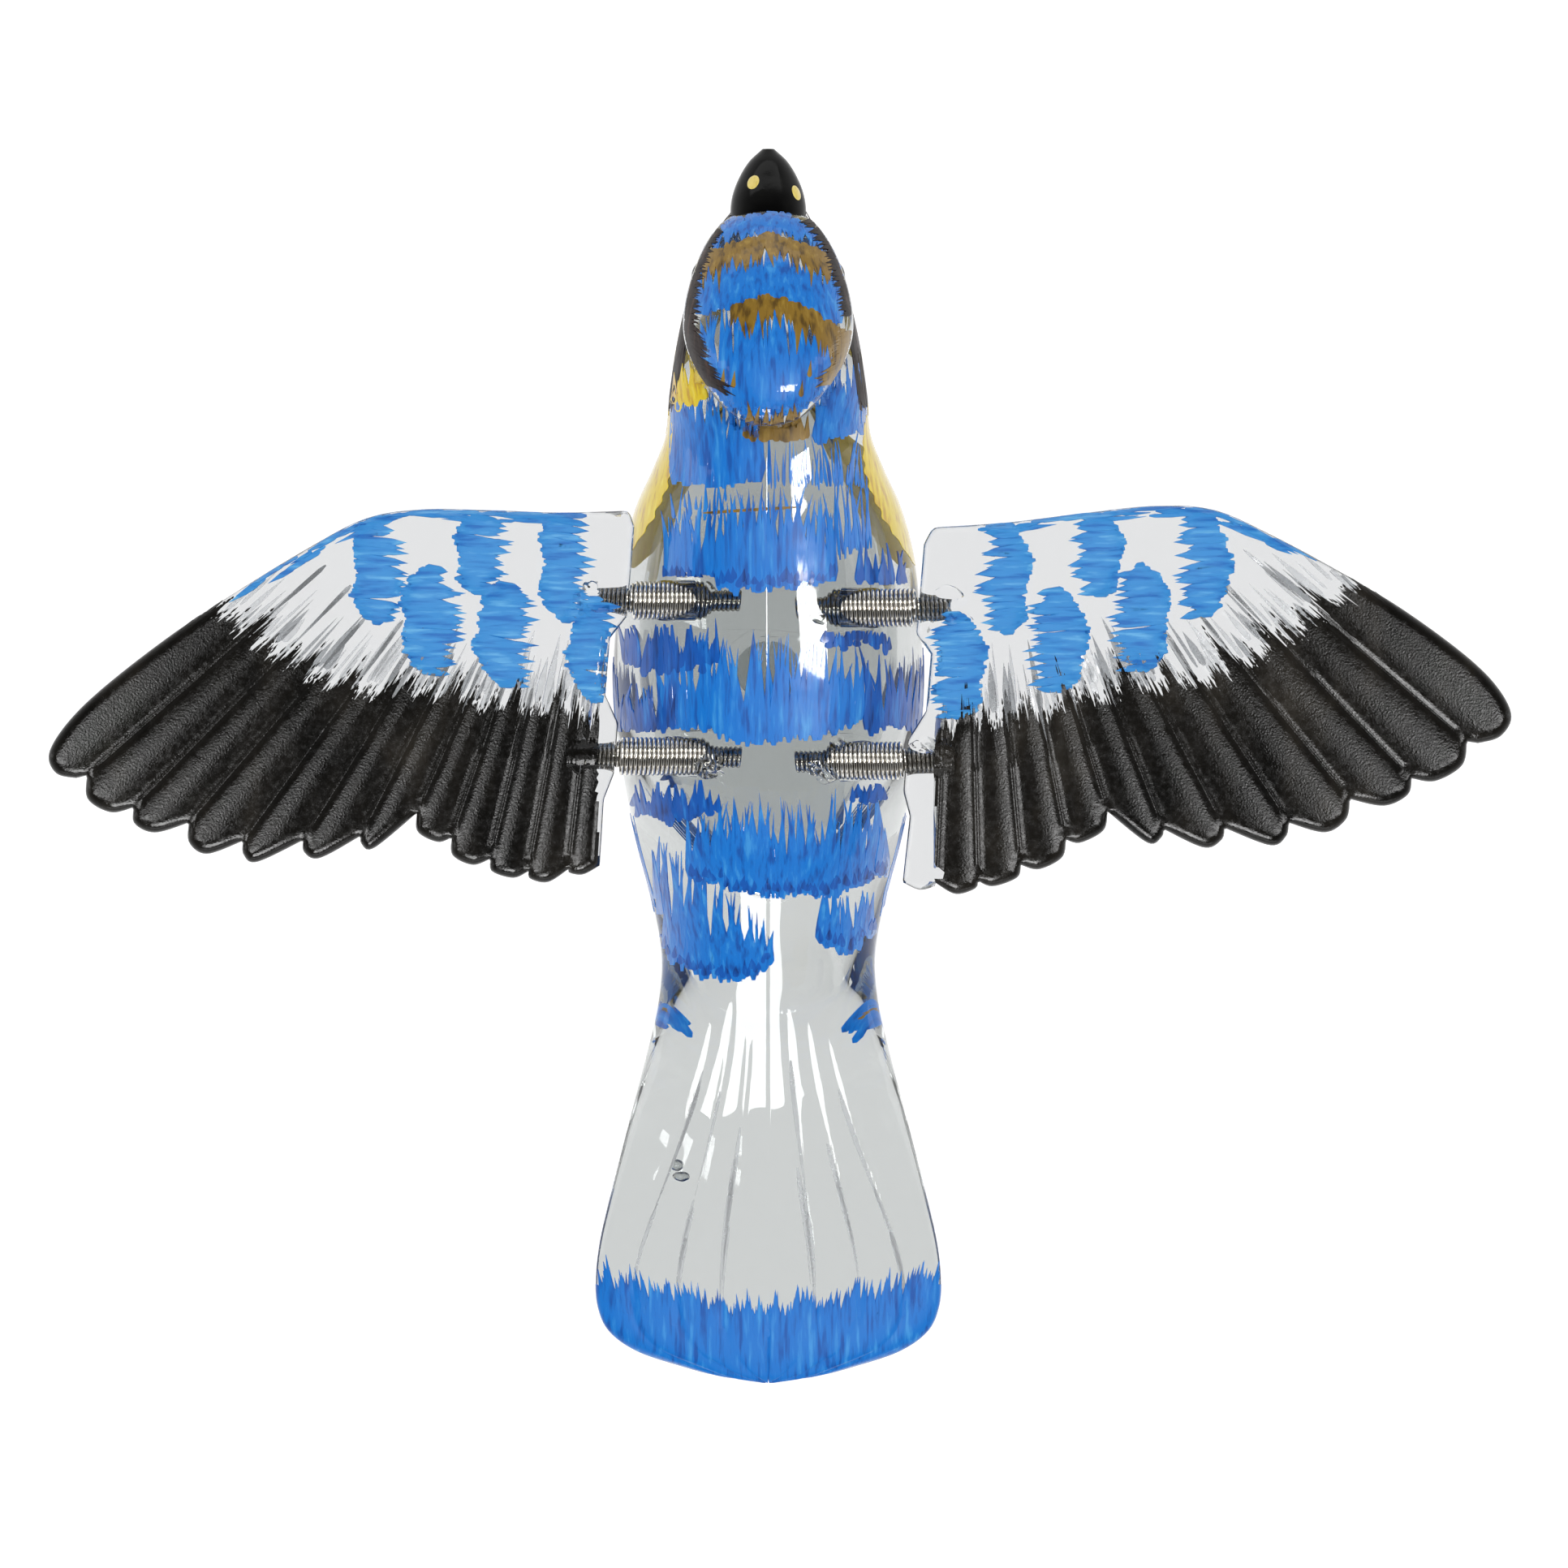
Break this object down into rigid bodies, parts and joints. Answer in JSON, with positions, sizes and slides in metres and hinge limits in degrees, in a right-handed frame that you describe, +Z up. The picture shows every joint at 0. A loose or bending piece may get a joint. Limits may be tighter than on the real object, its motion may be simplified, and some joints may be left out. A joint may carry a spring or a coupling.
{
  "type": "motion wing decoy",
  "caption": "Clear acrylic bird decoy with hand-painted feathers: a hollow two-part body, a belly socket for a stake, and flat wings that flutter on close-wound coil springs.",
  "frame": {"origin": "centre of the stake socket's mouth, under the belly", "axes": "+Y towards the beak, +X towards the bird's right wing, +Z up, away from the stake"},
  "size_m": [0.1952, 0.1649, 0.055],
  "materials": {
    "painted_clear_body": "glossy clear acrylic, brush-painted blue",
    "painted_clear_wing": "glossy clear acrylic, brush-painted blue and black",
    "clear_sleeve": "glossy, clear",
    "spring_steel": "bright drawn wire",
    "clear_glue": "glossy, clear"
  },
  "bodies": {
    "body": {"body_left_half": "painted_clear_body", "body_right_half": "painted_clear_body", "stake_socket": "clear_sleeve", "left_front_spring": "spring_steel", "left_rear_spring": "spring_steel", "right_front_spring": "spring_steel", "right_rear_spring": "spring_steel", "left_front_body_glue": "clear_glue", "left_rear_body_glue": "clear_glue", "right_front_body_glue": "clear_glue", "right_rear_body_glue": "clear_glue"},
    "left_wing": {"left_wing": "painted_clear_wing", "left_front_wing_glue": "clear_glue", "left_rear_wing_glue": "clear_glue"},
    "right_wing": {"right_wing": "painted_clear_wing", "right_front_wing_glue": "clear_glue", "right_rear_wing_glue": "clear_glue"}
  },
  "joints": [
    {"name": "left_wing_flap", "type": "hinge", "parent": "body", "child": "left_wing", "pos_m": [-0.0139, 0, 0.0378], "axis": [0, 1, 0], "range_deg": [-22, 40], "stiffness_Nm_per_rad": 0.02, "springref_deg": 9.74, "deforming": ["left_front_spring", "left_rear_spring"]},
    {"name": "right_wing_flap", "type": "hinge", "parent": "body", "child": "right_wing", "pos_m": [0.0139, 0, 0.0378], "axis": [0, -1, 0], "range_deg": [-22, 40], "stiffness_Nm_per_rad": 0.02, "springref_deg": 9.74, "deforming": ["right_front_spring", "right_rear_spring"]}
  ]
}
